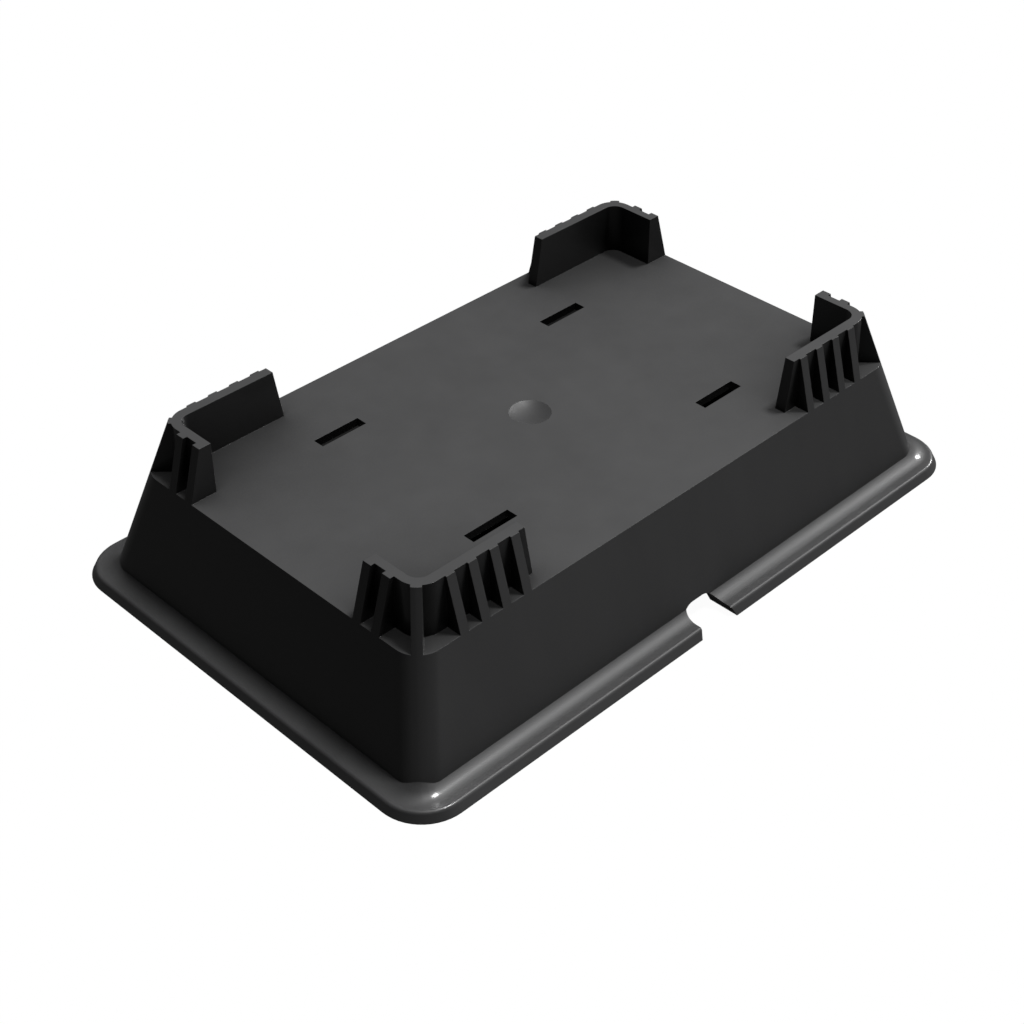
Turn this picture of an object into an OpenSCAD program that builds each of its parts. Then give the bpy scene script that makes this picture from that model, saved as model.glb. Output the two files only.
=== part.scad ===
// Roof mounting base: one moulded plastic tray turned upside down.
// A wide rim lies on the roof, drafted walls carry a flat plate,
// and four ribbed corner brackets hold the load that is set on the plate.
// Units are millimetres. The long side runs along X, the front is at -Y,
// and the rim's flat underside lies at Z = 0, with the origin at its centre.

/* [Seat] */
// Length of the seat between the brackets
seat_length = 296; // [240:0.5:360]
// Width of the seat between the brackets
seat_width = 164.4; // [130:0.2:220]
// Rounding of the seat's corners
seat_corner_radius = 6.5; // [2:0.5:10]

/* [Plate] */
// Height of the plate's upper face above the roof
plate_height = 61.6; // [40:0.2:100]
// How far the plate reaches past the seat at each end
plate_end_margin = 14.4; // [12:0.1:24]
// How far the plate reaches past the seat at each long side
plate_side_margin = 13.9; // [13:0.1:24]
// Gauge of the plate
plate_gauge = 4.5; // [3:0.1:8]

/* [Walls] */
// Slope of the walls, measured from upright
wall_draft = 16; // [8:0.5:18]
// Rounding of the four upright corners
wall_corner_radius = 13.5; // [9:0.5:18]
// Gauge of the walls
wall_gauge = 4.5; // [2.5:0.1:6]

/* [Rim] */
// How far the rim reaches past the foot of the end walls
rim_end_reach = 10.2; // [8:0.1:30]
// How far the rim reaches past the foot of the long walls
rim_side_reach = 12.1; // [8:0.1:30]
// Thickness of the rim
rim_height = 4.7; // [3:0.1:7]
// Radius of the rim's corners, seen from above
rim_corner_radius = 23.6; // [18:0.2:40]
// Rounding of the rim's upper outer edge
rim_edge_radius = 2; // [0.4:0.1:2.4]
// Slope of the rim's outer face, measured from upright
lip_draft = 28; // [0:1:35]
// Radius of the hollow that the rim's upper face has along the walls
rim_hollow_radius = 13.6; // [4:0.1:30]
// Slope of the hollow where it meets the walls, measured from level
rim_hollow_slope = 38; // [15:1:55]
// Radius of the hollow's lowest line round the corners, seen from above
rim_hollow_turn = 18; // [15:0.5:21]

/* [Corner brackets] */
// Height of the brackets above the plate
bracket_height = 27.2; // [12:0.2:30]
// Length of the brackets' long legs inside the seat, at the top
long_leg_length = 56.7; // [48:0.1:100]
// Length of the brackets' short legs inside the seat
short_leg_length = 26.2; // [20:0.1:60]
// Slope of the long legs' end faces, measured from upright
leg_end_draft = 9; // [0:0.5:15]
// Gauge of the long legs at their upper edge
long_leg_gauge = 5.2; // [3:0.1:5.6]
// Gauge of the short legs at their upper edge
short_leg_gauge = 4.4; // [3:0.1:5.6]
// Slope of the brackets' outer faces, measured from upright
bracket_draft = 1.5; // [0.5:0.5:4]
// Rounding of the brackets' outer corners
bracket_corner_radius = 11; // [6:0.5:14]

/* [Bracket ribs] */
// Width of the ribs
rib_width = 4.9; // [3:0.1:6.5]
// Ribs on each long leg
long_leg_ribs = 4; // [1:1:4]
// Spacing of the ribs on the long legs
long_rib_pitch = 12.4; // [9:0.1:12.8]
// Distance from the end of a long leg, at the top, to its first rib
long_rib_inset = 4; // [0:0.1:6]
// Ribs on each short leg
short_leg_ribs = 2; // [1:1:2]
// Spacing of the ribs on the short legs
short_rib_pitch = 11.9; // [9:0.1:13]

/* [Slots] */
// Length of the slots in the plate
slot_length = 27.2; // [12:0.2:40]
// Width of the slots in the plate
slot_width = 6.5; // [4:0.1:12]
// Spacing of the slots along the plate, middle to middle
slot_spacing = 153.2; // [140:0.2:180]
// Distance from the middle of the plate to the two rear slots
rear_slot_offset = 52.5; // [20:0.1:70]
// Distance from the middle of the plate to the front left slot
front_left_slot_offset = 51.2; // [20:0.1:70]
// Distance from the middle of the plate to the front right slot
front_right_slot_offset = 54.7; // [20:0.1:70]

/* [Dimple] */
// Width of the round dimple in the middle of the plate
dimple_width = 21; // [8:0.5:40]
// Depth of the dimple
dimple_depth = 2.2; // [0.5:0.1:2.6]

/* [Drain notches] */
// Width of the drain notches at the roof
notch_width = 24.9; // [20:0.1:60]
// Height of the drain notches
notch_height = 9.3; // [8.4:0.1:16]
// Slope of the notches' sides, measured from upright
notch_draft = 22; // [0:1:35]
// Rounding of the notches' upper corners
notch_radius = 8; // [2:0.5:8]

/* [Hidden] */
$fn = 96;

// How far a cutting shape reaches past the face it cuts
over = 1;
// How far a round stands proud of the flat faces it runs into, so that they cross cleanly
proud = 0.01;
// Straight steps in each of the drain notches' rounds
arc_steps = 10;
wall_slope = tan(wall_draft);
plate_length = seat_length + 2 * plate_end_margin;
plate_width = seat_width + 2 * plate_side_margin;
bracket_top = plate_height + bracket_height;
// Half sizes of the drafted walls where they reach the roof
foot_x = plate_length / 2 + plate_height * wall_slope;
foot_y = plate_width / 2 + plate_height * wall_slope;
rim_half_x = foot_x + rim_end_reach;
rim_half_y = foot_y + rim_side_reach;
// Distances from the middle to the ends of the brackets' legs, at the top
long_leg_end = seat_length / 2 - long_leg_length;
short_leg_end = seat_width / 2 - short_leg_length;

// How far the lip's rounded edge begins inside the rim's outline
lip_inset = (rim_height - rim_edge_radius) * tan(lip_draft) + rim_edge_radius / cos(lip_draft);
// Level part of the rim outside the walls, on its narrower side
rim_level = min(rim_end_reach, rim_side_reach) + rim_height * wall_slope - lip_inset;
// The hollow is no wider than that level part
widest_hollow = rim_level / (sin(rim_hollow_slope) - wall_slope * (1 - cos(rim_hollow_slope)));
hollow_radius = min(rim_hollow_radius, widest_hollow);
hollow_top = rim_height + hollow_radius * (1 - cos(rim_hollow_slope));
// The hollow's curve goes on inside the walls up to this slope, and comes out of them at the corners
hollow_last_slope = 62;
// Corner centres of the hollow's lowest line
hollow_reach = hollow_radius * sin(rim_hollow_slope) - hollow_top * wall_slope - rim_hollow_turn;
hollow_x = foot_x + hollow_reach;
hollow_y = foot_y + hollow_reach;

// A value for each side, right and left or rear and front
sides = [1, -1];

// Block with walls that lean inwards by draft, from z_low to z_high.
// half_x and half_y are its half sizes at Z = 0, and radius rounds its upright corners.
module drafted_block(half_x, half_y, draft, radius, z_low, z_high) {
    slope = tan(draft);
    // The corner rounds lean along the diagonal, each parallel to the line where two walls meet
    lean = atan(slope * sqrt(2));
    axis_inset = radius / cos(draft) - proud;
    flat_inset = radius * cos(draft);
    round_length = z_high - z_low + 4 * radius;
    intersection() {
        translate([-half_x, -half_y, z_low])
            cube([2 * half_x, 2 * half_y, z_high - z_low]);
        union() {
            sharp_block(half_x, half_y - flat_inset, slope, z_low - over, z_high + over);
            sharp_block(half_x - flat_inset, half_y, slope, z_low - over, z_high + over);
            for (x_side = sides, y_side = sides)
                in_quarter(x_side, y_side)
                    translate([half_x - axis_inset, half_y - axis_inset, 0])
                        rotate([0, 0, 45])
                            rotate([0, -lean, 0])
                                translate([0, 0, z_low - 2 * radius])
                                    cylinder(h = round_length / cos(lean), r = radius);
        }
    }
}

// Block with square corners whose four walls lean inwards by the same slope
module sharp_block(half_x, half_y, slope, z_low, z_high) {
    intersection() {
        rotate([90, 0, 0])
            linear_extrude(height = 4 * half_y, center = true)
                leaning_outline(half_x, slope, z_low, z_high);
        rotate([90, 0, 90])
            linear_extrude(height = 4 * half_x, center = true)
                leaning_outline(half_y, slope, z_low, z_high);
    }
}

module leaning_outline(half, slope, z_low, z_high) {
    low = half - z_low * slope;
    high = half - z_high * slope;
    polygon([[-low, z_low], [low, z_low], [high, z_high], [-high, z_high]]);
}

// Mirrors its children to one of the four quarters
module in_quarter(x_side, y_side) {
    mirror([x_side < 0 ? 1 : 0, 0, 0])
        mirror([0, y_side < 0 ? 1 : 0, 0])
            children();
}

// Carries a profile round a rounded rectangle with corner centres at corner_x and corner_y
module sweep_round(corner_x, corner_y) {
    for (side = [0, 180]) {
        rotate([0, 0, side])
            translate([corner_x, 0, 0])
                rotate([90, 0, 0])
                    linear_extrude(height = 2 * corner_y, center = true)
                        children();
        rotate([0, 0, side])
            translate([0, corner_y, 0])
                rotate([90, 0, 90])
                    linear_extrude(height = 2 * corner_x, center = true)
                        children();
    }
    for (x_side = sides, y_side = sides)
        in_quarter(x_side, y_side)
            translate([corner_x, corner_y, 0])
                rotate_extrude(angle = 90)
                    children();
}

// Section of the rim: a leaning lip with a rounded upper edge
module rim_profile() {
    // The round touches both the lip's face and the rim's upper face
    round_z = rim_height - rim_edge_radius;
    round_x = rim_corner_radius - lip_inset;
    polygon([
        [0, 0],
        [rim_corner_radius, 0],
        [round_x + rim_edge_radius * cos(lip_draft), round_z + rim_edge_radius * sin(lip_draft)],
        [round_x, round_z],
        [round_x, rim_height],
        [0, rim_height]
    ]);
    translate([round_x + proud, round_z + proud])
        circle(r = rim_edge_radius);
}

module rim() {
    sweep_round(rim_half_x - rim_corner_radius, rim_half_y - rim_corner_radius)
        rim_profile();
}

// Section of what rises from the rim to the walls, round the hollow
module hollow_profile() {
    rise = hollow_radius * (1 - cos(hollow_last_slope));
    difference() {
        translate([0, rim_height - over])
            square([rim_hollow_turn, over + rise]);
        translate([rim_hollow_turn, rim_height + hollow_radius - proud])
            circle(r = hollow_radius);
    }
}

module rim_hollow() {
    sweep_round(hollow_x, hollow_y)
        hollow_profile();
}

// The walls' block, carried on upwards to the top of the brackets
module outer_block() {
    drafted_block(foot_x, foot_y, wall_draft, wall_corner_radius, 0, bracket_top);
}

// The open inside below the plate
module inner_block() {
    inset = wall_gauge / cos(wall_draft);
    drafted_block(
        foot_x - inset,
        foot_y - inset,
        wall_draft,
        wall_corner_radius - wall_gauge,
        -over,
        plate_height - plate_gauge
    );
}

// Wall of the brackets all the way round, before its gaps are cut
module bracket_wall() {
    slope = tan(bracket_draft);
    drafted_block(
        seat_length / 2 + short_leg_gauge + bracket_top * slope,
        seat_width / 2 + long_leg_gauge + bracket_top * slope,
        bracket_draft,
        bracket_corner_radius,
        plate_height - over,
        bracket_top + over
    );
}

// Ribs outside one quarter's bracket, longer than they need to be
module quarter_ribs() {
    rib_z = plate_height - over;
    rib_height = bracket_height + 2 * over;
    reach = foot_y / 2;
    first_rib = long_leg_end + long_rib_inset;
    for (i = [0 : long_leg_ribs - 1])
        translate([first_rib + i * long_rib_pitch, seat_width / 2, rib_z])
            cube([rib_width, reach, rib_height]);
    for (i = [0 : short_leg_ribs - 1])
        translate([seat_length / 2, short_leg_end + i * short_rib_pitch, rib_z])
            cube([reach, rib_width, rib_height]);
    // The corner rib runs out along the diagonal of the walls' corner
    translate([foot_x, foot_y, rib_z])
        rotate([0, 0, 225])
            translate([-reach, -rib_width / 2, 0])
                cube([2 * (bracket_top * wall_slope + wall_corner_radius) + reach, rib_width, rib_height]);
}

// Upright prism of the seat, which the brackets stand round
module seat() {
    round_x = seat_length / 2 - seat_corner_radius + proud;
    round_y = seat_width / 2 - seat_corner_radius + proud;
    translate([0, 0, plate_height - 2 * over])
        linear_extrude(height = bracket_height + 4 * over)
            union() {
                square([seat_length, seat_width - 2 * seat_corner_radius], center = true);
                square([seat_length - 2 * seat_corner_radius, seat_width], center = true);
                for (x_side = sides, y_side = sides)
                    translate([x_side * round_x, y_side * round_y])
                        circle(r = seat_corner_radius);
            }
}

// The gaps between the brackets: leaning ends across the long sides, upright across the short ones
module bracket_gaps() {
    end_slope = tan(leg_end_draft);
    rotate([90, 0, 0])
        linear_extrude(height = 4 * foot_y, center = true)
            leaning_outline(
                long_leg_end - bracket_top * end_slope,
                -end_slope,
                plate_height - 2 * over,
                bracket_top + 2 * over
            );
    translate([-2 * foot_x, -short_leg_end, plate_height - 2 * over])
        cube([4 * foot_x, 2 * short_leg_end, bracket_height + 4 * over]);
}

// The four brackets with their ribs, reaching out past the walls' block
module brackets() {
    difference() {
        union() {
            bracket_wall();
            for (x_side = sides, y_side = sides)
                in_quarter(x_side, y_side)
                    quarter_ribs();
        }
        seat();
        bracket_gaps();
    }
}

// All that is taken off above the plate to leave the brackets standing
module space_above_plate() {
    difference() {
        translate([-foot_x, -foot_y, plate_height])
            cube([2 * foot_x, 2 * foot_y, bracket_height + over]);
        brackets();
    }
}

module slots() {
    places = [
        [-slot_spacing / 2, rear_slot_offset],
        [slot_spacing / 2, rear_slot_offset],
        [-slot_spacing / 2, -front_left_slot_offset],
        [slot_spacing / 2, -front_right_slot_offset]
    ];
    for (place = places)
        translate([place[0], place[1], plate_height - plate_gauge / 2])
            cube([slot_length, slot_width, plate_gauge + 2 * over], center = true);
}

// A shallow part of a ball, sunk into the plate
module dimple() {
    ball_radius = (pow(dimple_width / 2, 2) + pow(dimple_depth, 2)) / (2 * dimple_depth);
    translate([0, 0, plate_height - dimple_depth + ball_radius])
        sphere(r = ball_radius, $fn = 180);
}

// Points along an arc between two angles
function arc(x, y, radius, from, to) = [
    for (step = [0 : arc_steps])
        let (angle = from + (to - from) * step / arc_steps)
            [x + radius * cos(angle), y + radius * sin(angle)]
];

// One arch from front to rear, which lets water out through the rim and the foot of both long walls
module drain_notches() {
    slope = tan(notch_draft);
    half_low = notch_width / 2 + over * slope;
    // The rounds touch the leaning sides and the level top
    round_x = notch_width / 2 - notch_height * slope - notch_radius * tan(45 - notch_draft / 2);
    round_z = notch_height - notch_radius;
    rotate([90, 0, 0])
        linear_extrude(height = 2 * (rim_half_y + over), center = true)
            polygon(concat(
                [[-half_low, -over], [half_low, -over]],
                arc(round_x, round_z, notch_radius, notch_draft, 90),
                arc(-round_x, round_z, notch_radius, 90, 180 - notch_draft)
            ));
}

module mounting_base() {
    color("#2a2a2c")
        difference() {
            union() {
                rim();
                rim_hollow();
                difference() {
                    outer_block();
                    space_above_plate();
                }
            }
            inner_block();
            slots();
            dimple();
            drain_notches();
        }
}

mounting_base();
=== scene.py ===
"""Looks of a roof mounting base: one black moulding with ribbed brackets, in a white studio."""

import math

import bmesh
import bpy
from bpy.props import FloatProperty, FloatVectorProperty, PointerProperty
from bpy.types import Operator, Panel, PropertyGroup
from mathutils import Matrix, Vector


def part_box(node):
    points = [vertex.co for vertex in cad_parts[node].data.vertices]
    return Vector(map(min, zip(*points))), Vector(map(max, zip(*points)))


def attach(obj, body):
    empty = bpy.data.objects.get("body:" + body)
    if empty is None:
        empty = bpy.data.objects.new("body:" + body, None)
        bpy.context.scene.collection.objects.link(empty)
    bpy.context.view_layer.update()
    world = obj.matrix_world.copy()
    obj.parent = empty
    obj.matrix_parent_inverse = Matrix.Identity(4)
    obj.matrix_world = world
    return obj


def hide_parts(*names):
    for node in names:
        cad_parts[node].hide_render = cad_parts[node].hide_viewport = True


bl_info = {
    "name": "Roof Mounting Base",
    "version": (1, 0, 0),
    "blender": (4, 5, 0),
    "location": "3D View > Sidebar > Roof Base",
    "description": "Finishes the moulded roof mounting base and sets its white studio",
    "category": "Object",
}

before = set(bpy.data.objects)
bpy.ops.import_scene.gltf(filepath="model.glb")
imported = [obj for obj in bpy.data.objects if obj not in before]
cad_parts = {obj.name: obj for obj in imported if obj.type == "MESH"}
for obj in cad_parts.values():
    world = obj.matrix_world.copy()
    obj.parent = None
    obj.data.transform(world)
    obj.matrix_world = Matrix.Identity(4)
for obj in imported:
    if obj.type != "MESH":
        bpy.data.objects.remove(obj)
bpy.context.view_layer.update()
NODE = "mounting_base"
BASE_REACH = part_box(NODE)[1]  # half the length, half the width and the height

# Places on the solid, in metres
PLATE_TOP = 0.0616
SLOT_HEIGHTS = (PLATE_TOP - 0.0044, PLATE_TOP - 0.0002)  # of the strap slots' upright sides
SLOT_REACH = (0.150, 0.090)  # half the part of the plate that holds the slots
DIMPLE_RADIUS = 0.0105  # of the round dimple in the middle of the plate
LIP_TOP = 0.0047  # height of the flat on the rim's lip
CREASE_HEIGHTS = (0.007, 0.012)  # between which the rim's hollow meets the walls
RIM_SPAN = 0.02  # from the rim's outer edge to the walls' foot
NOTCH_HALF = 0.0125  # half the width of the drain notches at the roof

# How the solid's mesh is cleaned and its parts are told from one another
SAME_POINT = 2e-8  # farthest apart, in metres, that two corners are one
SAME_PLANE = math.radians(0.05)
SAME_HEIGHT = 0.00005
DIMPLE_SLACK = 0.0005
DIMPLE_ANGLE = 0.1  # radians, above which the dimple's outline is an edge
UPRIGHT = 0.2  # steepest upward part of the normal of an upright side
LEVEL = 0.9995  # least upward part of the normal of a level flat

# Patterns in the plastic, in repeats per metre
FLOW_MARKS_SCALE = 55.0
FLOW_MARKS_STRETCH = 0.12  # flow marks run up and down, so their pattern is stretched along Z
CLOUDS_SCALE = 18.0
SPECKS_SCALE = 900.0
FLOW_MARKS_IN_GLOSS = 0.04
CLOUDS_IN_GLOSS = 0.06
# Painted shade on the slots' upright sides, darkening the plastic's colour
SLOT_SHADE = 0.9  # share of its light that a slot's side loses
SHADER_SAMPLES = 4  # of the nodes that find corners and edges

FLOOR_HEIGHT = -0.0001  # just below the base
MIRRORING_RAYS = ("Camera", "Glossy", "Transmission")
LAMP_DISTANCE = 2.0

# Direction to each lamp, how wide it looks in degrees, and whether it throws a shadow
TOP_LAMP = ((0.323, -0.098, 0.941), 10.0, True)
SIDE_LAMP = ((0.835, 0.012, 0.550), 10.0, False)
UNDER_LAMP = ((0.0, 0.0, -1.0), 30.0, True)

# Camera, fitted to the straight edges of the base
CAMERA_PLACE = (-0.525275, -0.521342, 0.565609)
CAMERA_AZIMUTH = math.radians(-44.512)
CAMERA_ELEVATION = math.radians(37.375)
CAMERA_ROLL = math.radians(0.278)
SENSOR_WIDTH = 36.0  # millimetres
LENS = 1834.04 / 1024 * SENSOR_WIDTH  # from the focal length in pixels of a 1024 pixel picture
CLIP_START = 0.01


class MouldingSettings(PropertyGroup):
    """Sizes and finish of the moulding"""

    sharpest_smooth: FloatProperty(
        name="Sharpest smooth angle",
        description="Faces that meet at less than this angle are one smooth surface",
        default=math.radians(45.0),
        subtype="ANGLE",
    )
    sharpest_crease: FloatProperty(
        name="Sharpest smooth crease",
        description="The same angle for the shallow crease where the rim's hollow meets the walls",
        default=math.radians(19.0),
        subtype="ANGLE",
    )
    edge_radius: FloatProperty(
        name="Edge radius",
        description="Rounding of the mould's edges, as the light shows it",
        default=0.0003,
        min=0.0,
        max=0.001,
        subtype="DISTANCE",
        unit="LENGTH",
    )
    plastic_colour: FloatVectorProperty(
        name="Plastic colour",
        description="Colour of the black plastic",
        default=(0.071, 0.071, 0.072),
        size=3,
        subtype="COLOR",
    )
    flow_marks: FloatProperty(
        name="Flow marks",
        description="How much the flow marks down the walls change the colour",
        default=0.18,
        min=0.0,
        max=1.0,
    )
    clouds: FloatProperty(
        name="Clouds",
        description="How much broad patches change the colour",
        default=0.07,
        min=0.0,
        max=1.0,
    )
    specks: FloatProperty(
        name="Specks",
        description="How much fine specks change the colour",
        default=0.05,
        min=0.0,
        max=1.0,
    )
    roughness: FloatProperty(
        name="Roughness",
        description="How matt the plastic is",
        default=0.47,
        min=0.0,
        max=1.0,
    )
    sheen: FloatProperty(
        name="Smooth skin",
        description="Share of the smoother skin that gives the rounds their bright spots",
        default=0.4,
        min=0.0,
        max=1.0,
    )
    sheen_roughness: FloatProperty(
        name="Smooth skin's roughness",
        description="How matt that skin is",
        default=0.15,
        min=0.0,
        max=1.0,
    )
    # Painted shade: how far from a wall the plastic's colour is still darkened in corners
    corner_shade_reach: FloatProperty(
        name="Corner reach",
        description="How far from a wall its corner still looks darker",
        default=0.07,
        subtype="DISTANCE",
        unit="LENGTH",
    )
    # Painted shade: how strongly the plastic's colour is darkened in corners
    corner_shade_depth: FloatProperty(
        name="Corner depth",
        description="How much darker corners are than open faces; zero for no difference",
        default=2.3,
        min=0.0,
    )
    grain_size: FloatProperty(
        name="Grain size",
        description="Distance between the bumps of the fine moulded grain",
        default=0.0006,
        subtype="DISTANCE",
        unit="LENGTH",
    )
    grain_height: FloatProperty(
        name="Grain height",
        description="Height of the fine moulded grain",
        default=0.000012,
        subtype="DISTANCE",
        unit="LENGTH",
    )


class StudioSettings(PropertyGroup):
    """Floor, lamps and room"""

    floor_size: FloatProperty(
        name="Floor size",
        description="Side of the square floor",
        default=8.0,
        subtype="DISTANCE",
        unit="LENGTH",
    )
    top_light: FloatProperty(
        name="Top light",
        description="Strength of the soft light above the front, where pi shows white as white",
        default=2.38,
    )
    side_light: FloatProperty(
        name="Side light",
        description="Strength of the soft light on the right",
        default=1.64,
    )
    under_light: FloatProperty(
        name="Under light",
        description="Strength of the soft light from below, which reaches the hollow underside",
        default=0.9,
    )
    room_light: FloatProperty(
        name="Room light",
        description="Even light from all round",
        default=0.005,
        min=0.0,
    )
    floor_white: FloatProperty(
        name="Floor white",
        description="How white the floor looks to the camera before the lamps reach it",
        default=0.95,
        min=0.0,
        max=1.0,
    )
    floor_grey: FloatProperty(
        name="Floor grey",
        description="Share of the lamps' light that the floor throws back",
        default=0.05,
        min=0.0,
        max=1.0,
    )
    gloss_share: FloatProperty(
        name="White in the gloss",
        description="How much of the white floor and room the plastic's gloss shows",
        default=0.01,
        min=0.0,
        max=1.0,
    )


class Socket:
    """A shader socket that can be used in sums, so that the node tree reads as an expression"""

    def __init__(self, shader, output):
        self.shader = shader
        self.output = output

    def maths(self, operation, *values):
        return self.shader.add("ShaderNodeMath", dict(enumerate(values)), operation=operation)

    def __add__(self, other):
        return self.maths("ADD", self, other)

    def __radd__(self, other):
        return self.maths("ADD", other, self)

    def __rsub__(self, other):
        return self.maths("SUBTRACT", other, self)

    def __mul__(self, other):
        return self.maths("MULTIPLY", self, other)

    def __pow__(self, other):
        return self.maths("POWER", self, other)

    def __abs__(self):
        return self.maths("ABSOLUTE", self)

    def __lt__(self, other):
        return self.maths("LESS_THAN", self, other)

    def __gt__(self, other):
        return self.maths("GREATER_THAN", self, other)

    def larger(self, other):
        return self.maths("MAXIMUM", self, other)

    def part(self, axis):
        """The X, Y or Z of a vector"""
        return self.shader.add("ShaderNodeSeparateXYZ", {0: self}, axis)


class Shader:
    """The node tree of a material or of the world, filled by one method"""

    def __init__(self, owner):
        owner.use_nodes = True
        self.tree = owner.node_tree
        self.tree.nodes.clear()

    def add(self, kind, sockets=None, output=0, **settings):
        """Adds a node, sets its settings and then its sockets, and returns one of its outputs"""
        node = self.tree.nodes.new(kind)
        for name, value in settings.items():
            setattr(node, name, value)
        for key, value in (sockets or {}).items():
            if isinstance(value, Socket):
                self.tree.links.new(value.output, node.inputs[key])
            else:
                node.inputs[key].default_value = value
        return Socket(self, node.outputs[output]) if node.outputs else None


def slot_shade_mask(shader, place):
    """Mask for painted shade: one on the upright sides of the strap slots, where hardly any light
    falls, else zero
    """
    normal = shader.add("ShaderNodeNewGeometry", output="True Normal")
    height = place.part("Z")
    in_plate = (height > SLOT_HEIGHTS[0]) * (height < SLOT_HEIGHTS[1])
    near_slots = (abs(place.part("X")) < SLOT_REACH[0]) * (abs(place.part("Y")) < SLOT_REACH[1])
    return (abs(normal.part("Z")) < UPRIGHT) * in_plate * near_slots


def plastic_patterns(shader, place):
    """Flow marks, broad clouds and fine specks, each from zero to one"""
    stretched = shader.add(
        "ShaderNodeMapping", {"Vector": place, "Scale": (1.0, 1.0, FLOW_MARKS_STRETCH)}
    )
    return (
        shader.add("ShaderNodeTexNoise", {"Vector": vector, "Scale": scale, "Detail": detail})
        for vector, scale, detail in (
            (stretched, FLOW_MARKS_SCALE, 2.0),
            (place, CLOUDS_SCALE, 3.0),
            (place, SPECKS_SCALE, 1.0),
        )
    )


def moulded_relief(shader, place, settings):
    """Normal of the surface with its rounded edges and its fine grain"""
    grain = shader.add(
        "ShaderNodeTexNoise",
        {"Vector": place, "Scale": 1.0 / settings.grain_size, "Detail": 2.0, "Roughness": 0.6},
    )
    edges = shader.add(
        "ShaderNodeBevel", {"Radius": settings.edge_radius}, samples=SHADER_SAMPLES
    )
    return shader.add(
        "ShaderNodeBump",
        {"Strength": 1.0, "Distance": settings.grain_height, "Height": grain, "Normal": edges},
    )


def black_plastic(settings):
    """Black moulded plastic: satin grain, faint flow marks down the walls, and painted shade
    darkening the colour in corners and on the slots' sides
    """
    material = bpy.data.materials.new("black_moulded_plastic")
    shader = Shader(material)
    place = shader.add("ShaderNodeTexCoord", output="Object")
    flow, clouds, specks = plastic_patterns(shader, place)

    # The patterns change the colour about its mean, and painted shade darkens the colour in
    # corners and on the slots' sides, where less light reaches
    least = 1.0 - (settings.flow_marks + settings.clouds + settings.specks) / 2
    marks = least + flow * settings.flow_marks + clouds * settings.clouds
    marks = marks + specks * settings.specks
    # Painted shade: ambient occlusion darkens the plastic's colour in corners
    openness = shader.add(
        "ShaderNodeAmbientOcclusion",
        {"Distance": settings.corner_shade_reach},
        "AO",
        samples=SHADER_SAMPLES,
        only_local=True,
    )
    corners = openness**settings.corner_shade_depth
    # Painted shade: the slots' upright sides are darkened in the plastic's colour
    slots = 1.0 - slot_shade_mask(shader, place) * SLOT_SHADE
    colour = shader.add(
        "ShaderNodeVectorMath",
        {0: tuple(settings.plastic_colour), "Scale": marks * corners * slots},
        operation="SCALE",
    )

    least_matt = settings.roughness - (CLOUDS_IN_GLOSS + FLOW_MARKS_IN_GLOSS) / 2
    relief = moulded_relief(shader, place, settings)
    surface = shader.add(
        "ShaderNodeBsdfPrincipled",
        {
            "Base Color": colour,
            "Roughness": least_matt + clouds * CLOUDS_IN_GLOSS + flow * FLOW_MARKS_IN_GLOSS,
            "IOR": 1.5,
            "Specular IOR Level": 0.45,
            "Normal": relief,
            "Coat Weight": settings.sheen,
            "Coat Roughness": settings.sheen_roughness,
            "Coat Normal": relief,
        },
    )
    shader.add("ShaderNodeOutputMaterial", {"Surface": surface})
    return material


def white_where_seen(shader, strength, gloss_share):
    """Strength of the white that the camera sees, and of what the plastic's gloss shows of it"""
    camera, glossy, transmission = (
        shader.add("ShaderNodeLightPath", output=f"Is {ray} Ray") for ray in MIRRORING_RAYS
    )
    return (camera + transmission) * strength + glossy * gloss_share


def studio_floor(settings):
    """Floor that looks white to the camera, keeps a soft shadow, is painted black as shade under
    the base and is open from below
    """
    material = bpy.data.materials.new("studio_floor")
    shader = Shader(material)
    place = shader.add("ShaderNodeTexCoord", output="Object")
    lengthwise, crosswise = abs(place.part("X")), abs(place.part("Y"))

    # Under the base the floor is painted black as shade, to the lamps and to the camera, so that
    # the slots look dark; the side lamp throws no shadow there
    inside_long_walls = crosswise < BASE_REACH.y - 2 * RIM_SPAN
    floor_outside_painted_shade = 1.0 - (lengthwise < BASE_REACH.x - RIM_SPAN) * inside_long_walls
    colour = shader.add(
        "ShaderNodeVectorMath",
        {0: [settings.floor_grey] * 3, "Scale": floor_outside_painted_shade},
        operation="SCALE",
    )
    white = white_where_seen(shader, settings.floor_white, settings.gloss_share)
    floor = shader.add(
        "ShaderNodeBsdfPrincipled",
        {
            "Base Color": colour,
            "Roughness": 0.9,
            "Specular IOR Level": 0.0,
            "Emission Color": (1.0, 1.0, 1.0, 1.0),
            # painted shade: the floor gives no white under the base
            "Emission Strength": white * floor_outside_painted_shade,
        },
    )

    # It is clear to the camera from below, and to the lamp that lights the underside.
    # In the drain notches it stops that lamp, so that their cut faces stay dark.
    seen_from_below = shader.add("ShaderNodeNewGeometry", output="Backfacing")
    lamp_ray = shader.add("ShaderNodeLightPath", output="Is Shadow Ray")
    notches = (lengthwise < NOTCH_HALF) * (1.0 - inside_long_walls)
    surface = shader.add(
        "ShaderNodeMixShader",
        {
            0: seen_from_below.larger(lamp_ray * (1.0 - notches)),
            1: floor,
            2: shader.add("ShaderNodeBsdfTransparent"),
        },
    )
    shader.add("ShaderNodeOutputMaterial", {"Surface": surface})
    return material


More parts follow.
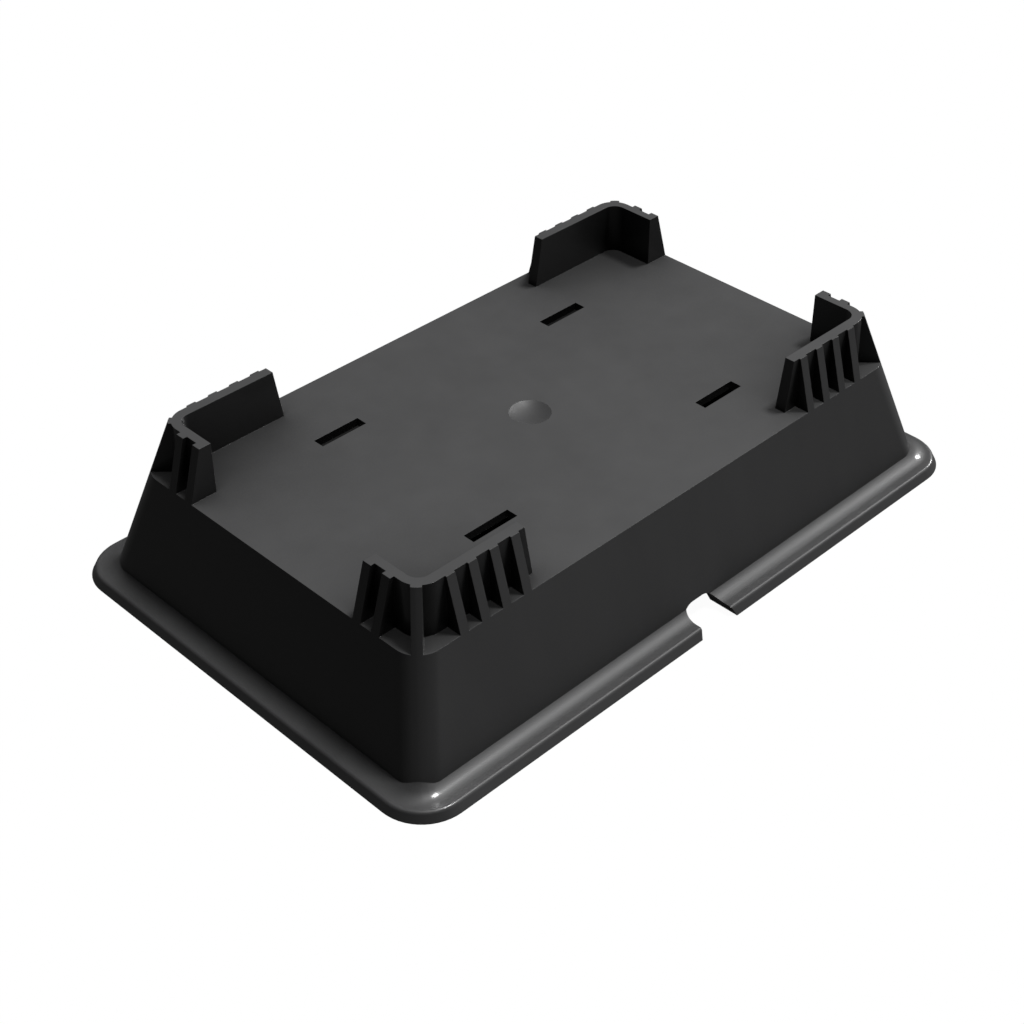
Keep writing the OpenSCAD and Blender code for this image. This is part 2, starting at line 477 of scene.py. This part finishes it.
def studio_room(settings):
    """World that looks white to the camera and gives a little even light"""
    world = bpy.data.worlds.new("studio_room")
    shader = Shader(world)
    white = white_where_seen(shader, 1.0 - settings.room_light, settings.gloss_share)
    room = shader.add(
        "ShaderNodeBackground",
        {"Color": (1.0, 1.0, 1.0, 1.0), "Strength": white + settings.room_light},
    )
    shader.add("ShaderNodeOutputWorld", {"Surface": room})
    return world


def deselect_all():
    """Leaves nothing selected, in object mode"""
    if bpy.context.object and bpy.context.object.mode != "OBJECT":
        bpy.ops.object.mode_set(mode="OBJECT")
    bpy.ops.object.select_all(action="DESELECT")


def make_active(piece):
    """Selects one piece and makes it the one that operators work on"""
    deselect_all()
    piece.select_set(True)
    bpy.context.view_layer.objects.active = piece


def merge_doubles(piece):
    """Joins the loose triangles of the solid's mesh into one skin"""
    bpy.ops.mesh.customdata_custom_splitnormals_clear()
    weld = piece.modifiers.new("weld", "WELD")
    weld.merge_threshold = SAME_POINT
    bpy.ops.object.modifier_apply(modifier=weld.name)


def join_flat_faces():
    """Makes one face of the triangles of each flat, in edit mode, and smooths it all over"""
    bpy.ops.mesh.select_all(action="SELECT")
    bpy.ops.mesh.dissolve_limited(angle_limit=SAME_PLANE)
    bpy.ops.mesh.select_all(action="SELECT")
    bpy.ops.mesh.faces_shade_smooth()
    bpy.ops.mesh.mark_sharp(clear=True)


def is_sharp(edge, settings):
    """Tells the sharp edges from those between the facets of a round"""
    angle = edge.calc_face_angle_signed()
    middle = (edge.verts[0].co + edge.verts[1].co) / 2
    if abs(angle) > settings.sharpest_smooth:
        return True
    if angle < -settings.sharpest_crease and CREASE_HEIGHTS[0] < middle.z < CREASE_HEIGHTS[1]:
        return True
    on_plate = abs(middle.z - PLATE_TOP) < SAME_HEIGHT
    round_dimple = abs(middle.xy.length - DIMPLE_RADIUS) < DIMPLE_SLACK
    return on_plate and round_dimple and abs(angle) > DIMPLE_ANGLE


def mark_edges(piece, settings):
    """Marks the moulding's sharp edges, in edit mode"""
    bpy.ops.mesh.select_mode(type="EDGE")
    bpy.ops.mesh.select_all(action="DESELECT")
    mesh = bmesh.from_edit_mesh(piece.data)
    if not all(edge.is_manifold for edge in mesh.edges):
        raise RuntimeError("the moulding isn't closed")
    for edge in mesh.edges:
        edge.select_set(is_sharp(edge, settings))
    bmesh.update_edit_mesh(piece.data)
    bpy.ops.mesh.mark_sharp()


def keep_lip_flat(piece):
    """Gives the lip's narrow flat its own normal, in edit mode, or its highlight smears"""
    bpy.ops.mesh.select_mode(type="FACE")
    bpy.ops.mesh.select_all(action="DESELECT")
    mesh = bmesh.from_edit_mesh(piece.data)
    for face in mesh.faces:
        at_lip = abs(face.calc_center_median().z - LIP_TOP) < SAME_HEIGHT
        face.select_set(face.normal.z > LEVEL and at_lip)
    bmesh.update_edit_mesh(piece.data)
    bpy.ops.mesh.mod_weighted_strength(set=True, face_strength="STRONG")


def weight_normals(piece):
    """Lets large faces hold their own normal, so that flats look flat beside their rounds"""
    flats = piece.modifiers.new("flats", "WEIGHTED_NORMAL")
    flats.keep_sharp = True
    flats.use_face_influence = True
    bpy.ops.object.modifier_apply(modifier=flats.name)


class ROOFBASE_OT_moulding(Operator):
    """Makes the moulding from the solid: flat faces stay flat, rounds smooth and edges crisp"""

    bl_idname = "roofbase.moulding"
    bl_label = "Moulding"

    def execute(self, context):
        settings = context.scene.roof_moulding
        moulding = bpy.data.objects.new("base_moulding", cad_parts[NODE].data.copy())
        context.scene.collection.objects.link(moulding)
        make_active(moulding)
        merge_doubles(moulding)
        bpy.ops.object.mode_set(mode="EDIT")
        join_flat_faces()
        mark_edges(moulding, settings)
        keep_lip_flat(moulding)
        bpy.ops.object.mode_set(mode="OBJECT")
        weight_normals(moulding)
        moulding.data.materials.clear()
        moulding.data.materials.append(black_plastic(settings))
        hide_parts(NODE)
        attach(moulding, "root")
        return {"FINISHED"}


def soft_lamp(name, strength, direction, angle, shadow):
    """Adds a far lamp that shines on the base from one direction"""
    toward = Vector(direction).normalized()
    bpy.ops.object.light_add(type="SUN", location=toward * LAMP_DISTANCE)
    lamp = bpy.context.object
    lamp.name = name
    lamp.rotation_euler = (-toward).to_track_quat("-Z", "Y").to_euler()
    lamp.data.energy = strength
    lamp.data.angle = math.radians(angle)
    lamp.data.use_shadow = shadow


def camera_turn():
    """Right, up and back of the camera as the columns of a matrix"""
    level = math.cos(CAMERA_ELEVATION)
    back = Vector(
        (
            math.sin(CAMERA_AZIMUTH) * level,
            -math.cos(CAMERA_AZIMUTH) * level,
            math.sin(CAMERA_ELEVATION),
        )
    )
    right = Vector((math.cos(CAMERA_AZIMUTH), math.sin(CAMERA_AZIMUTH), 0.0))
    up = back.cross(right)
    rolled_right = right * math.cos(CAMERA_ROLL) - up * math.sin(CAMERA_ROLL)
    rolled_up = right * math.sin(CAMERA_ROLL) + up * math.cos(CAMERA_ROLL)
    return Matrix((rolled_right, rolled_up, back)).transposed()


class ROOFBASE_OT_studio(Operator):
    """Makes the floor, the lamps, the room and the camera"""

    bl_idname = "roofbase.studio"
    bl_label = "Studio"

    def execute(self, context):
        settings = context.scene.roof_studio
        scene = context.scene
        deselect_all()
        bpy.ops.mesh.primitive_plane_add(
            size=settings.floor_size, location=(0.0, 0.0, FLOOR_HEIGHT)
        )
        floor = context.object
        floor.name = "floor"
        floor.data.materials.append(studio_floor(settings))

        soft_lamp("top_lamp", settings.top_light, *TOP_LAMP)
        soft_lamp("side_lamp", settings.side_light, *SIDE_LAMP)
        soft_lamp("under_lamp", settings.under_light, *UNDER_LAMP)
        scene.world = studio_room(settings)
        scene.view_settings.view_transform = "Standard"

        bpy.ops.object.camera_add()
        camera = context.object
        camera.name = "camera"
        camera.matrix_world = Matrix.LocRotScale(Vector(CAMERA_PLACE), camera_turn(), None)
        camera.data.sensor_width = SENSOR_WIDTH
        camera.data.lens = LENS
        camera.data.clip_start = CLIP_START
        scene.camera = camera
        return {"FINISHED"}


class ROOFBASE_PT_panel(Panel):
    """Lists the base's piece and its studio"""

    bl_label = "Roof Mounting Base"
    bl_idname = "ROOFBASE_PT_panel"
    bl_space_type = "VIEW_3D"
    bl_region_type = "UI"
    bl_category = "Roof Base"

    def draw(self, context):
        for settings, operator in (
            (context.scene.roof_moulding, ROOFBASE_OT_moulding),
            (context.scene.roof_studio, ROOFBASE_OT_studio),
        ):
            box = self.layout.box()
            for name in settings.__annotations__:
                box.prop(settings, name)
            box.operator(operator.bl_idname)


CLASSES = (
    MouldingSettings,
    StudioSettings,
    ROOFBASE_OT_moulding,
    ROOFBASE_OT_studio,
    ROOFBASE_PT_panel,
)


def register():
    for cls in CLASSES:
        bpy.utils.register_class(cls)
    bpy.types.Scene.roof_moulding = PointerProperty(type=MouldingSettings)
    bpy.types.Scene.roof_studio = PointerProperty(type=StudioSettings)


def unregister():
    del bpy.types.Scene.roof_studio
    del bpy.types.Scene.roof_moulding
    for cls in reversed(CLASSES):
        bpy.utils.unregister_class(cls)


def main():
    register()
    bpy.ops.roofbase.moulding()
    bpy.ops.roofbase.studio()


if __name__ == "__main__":
    main()
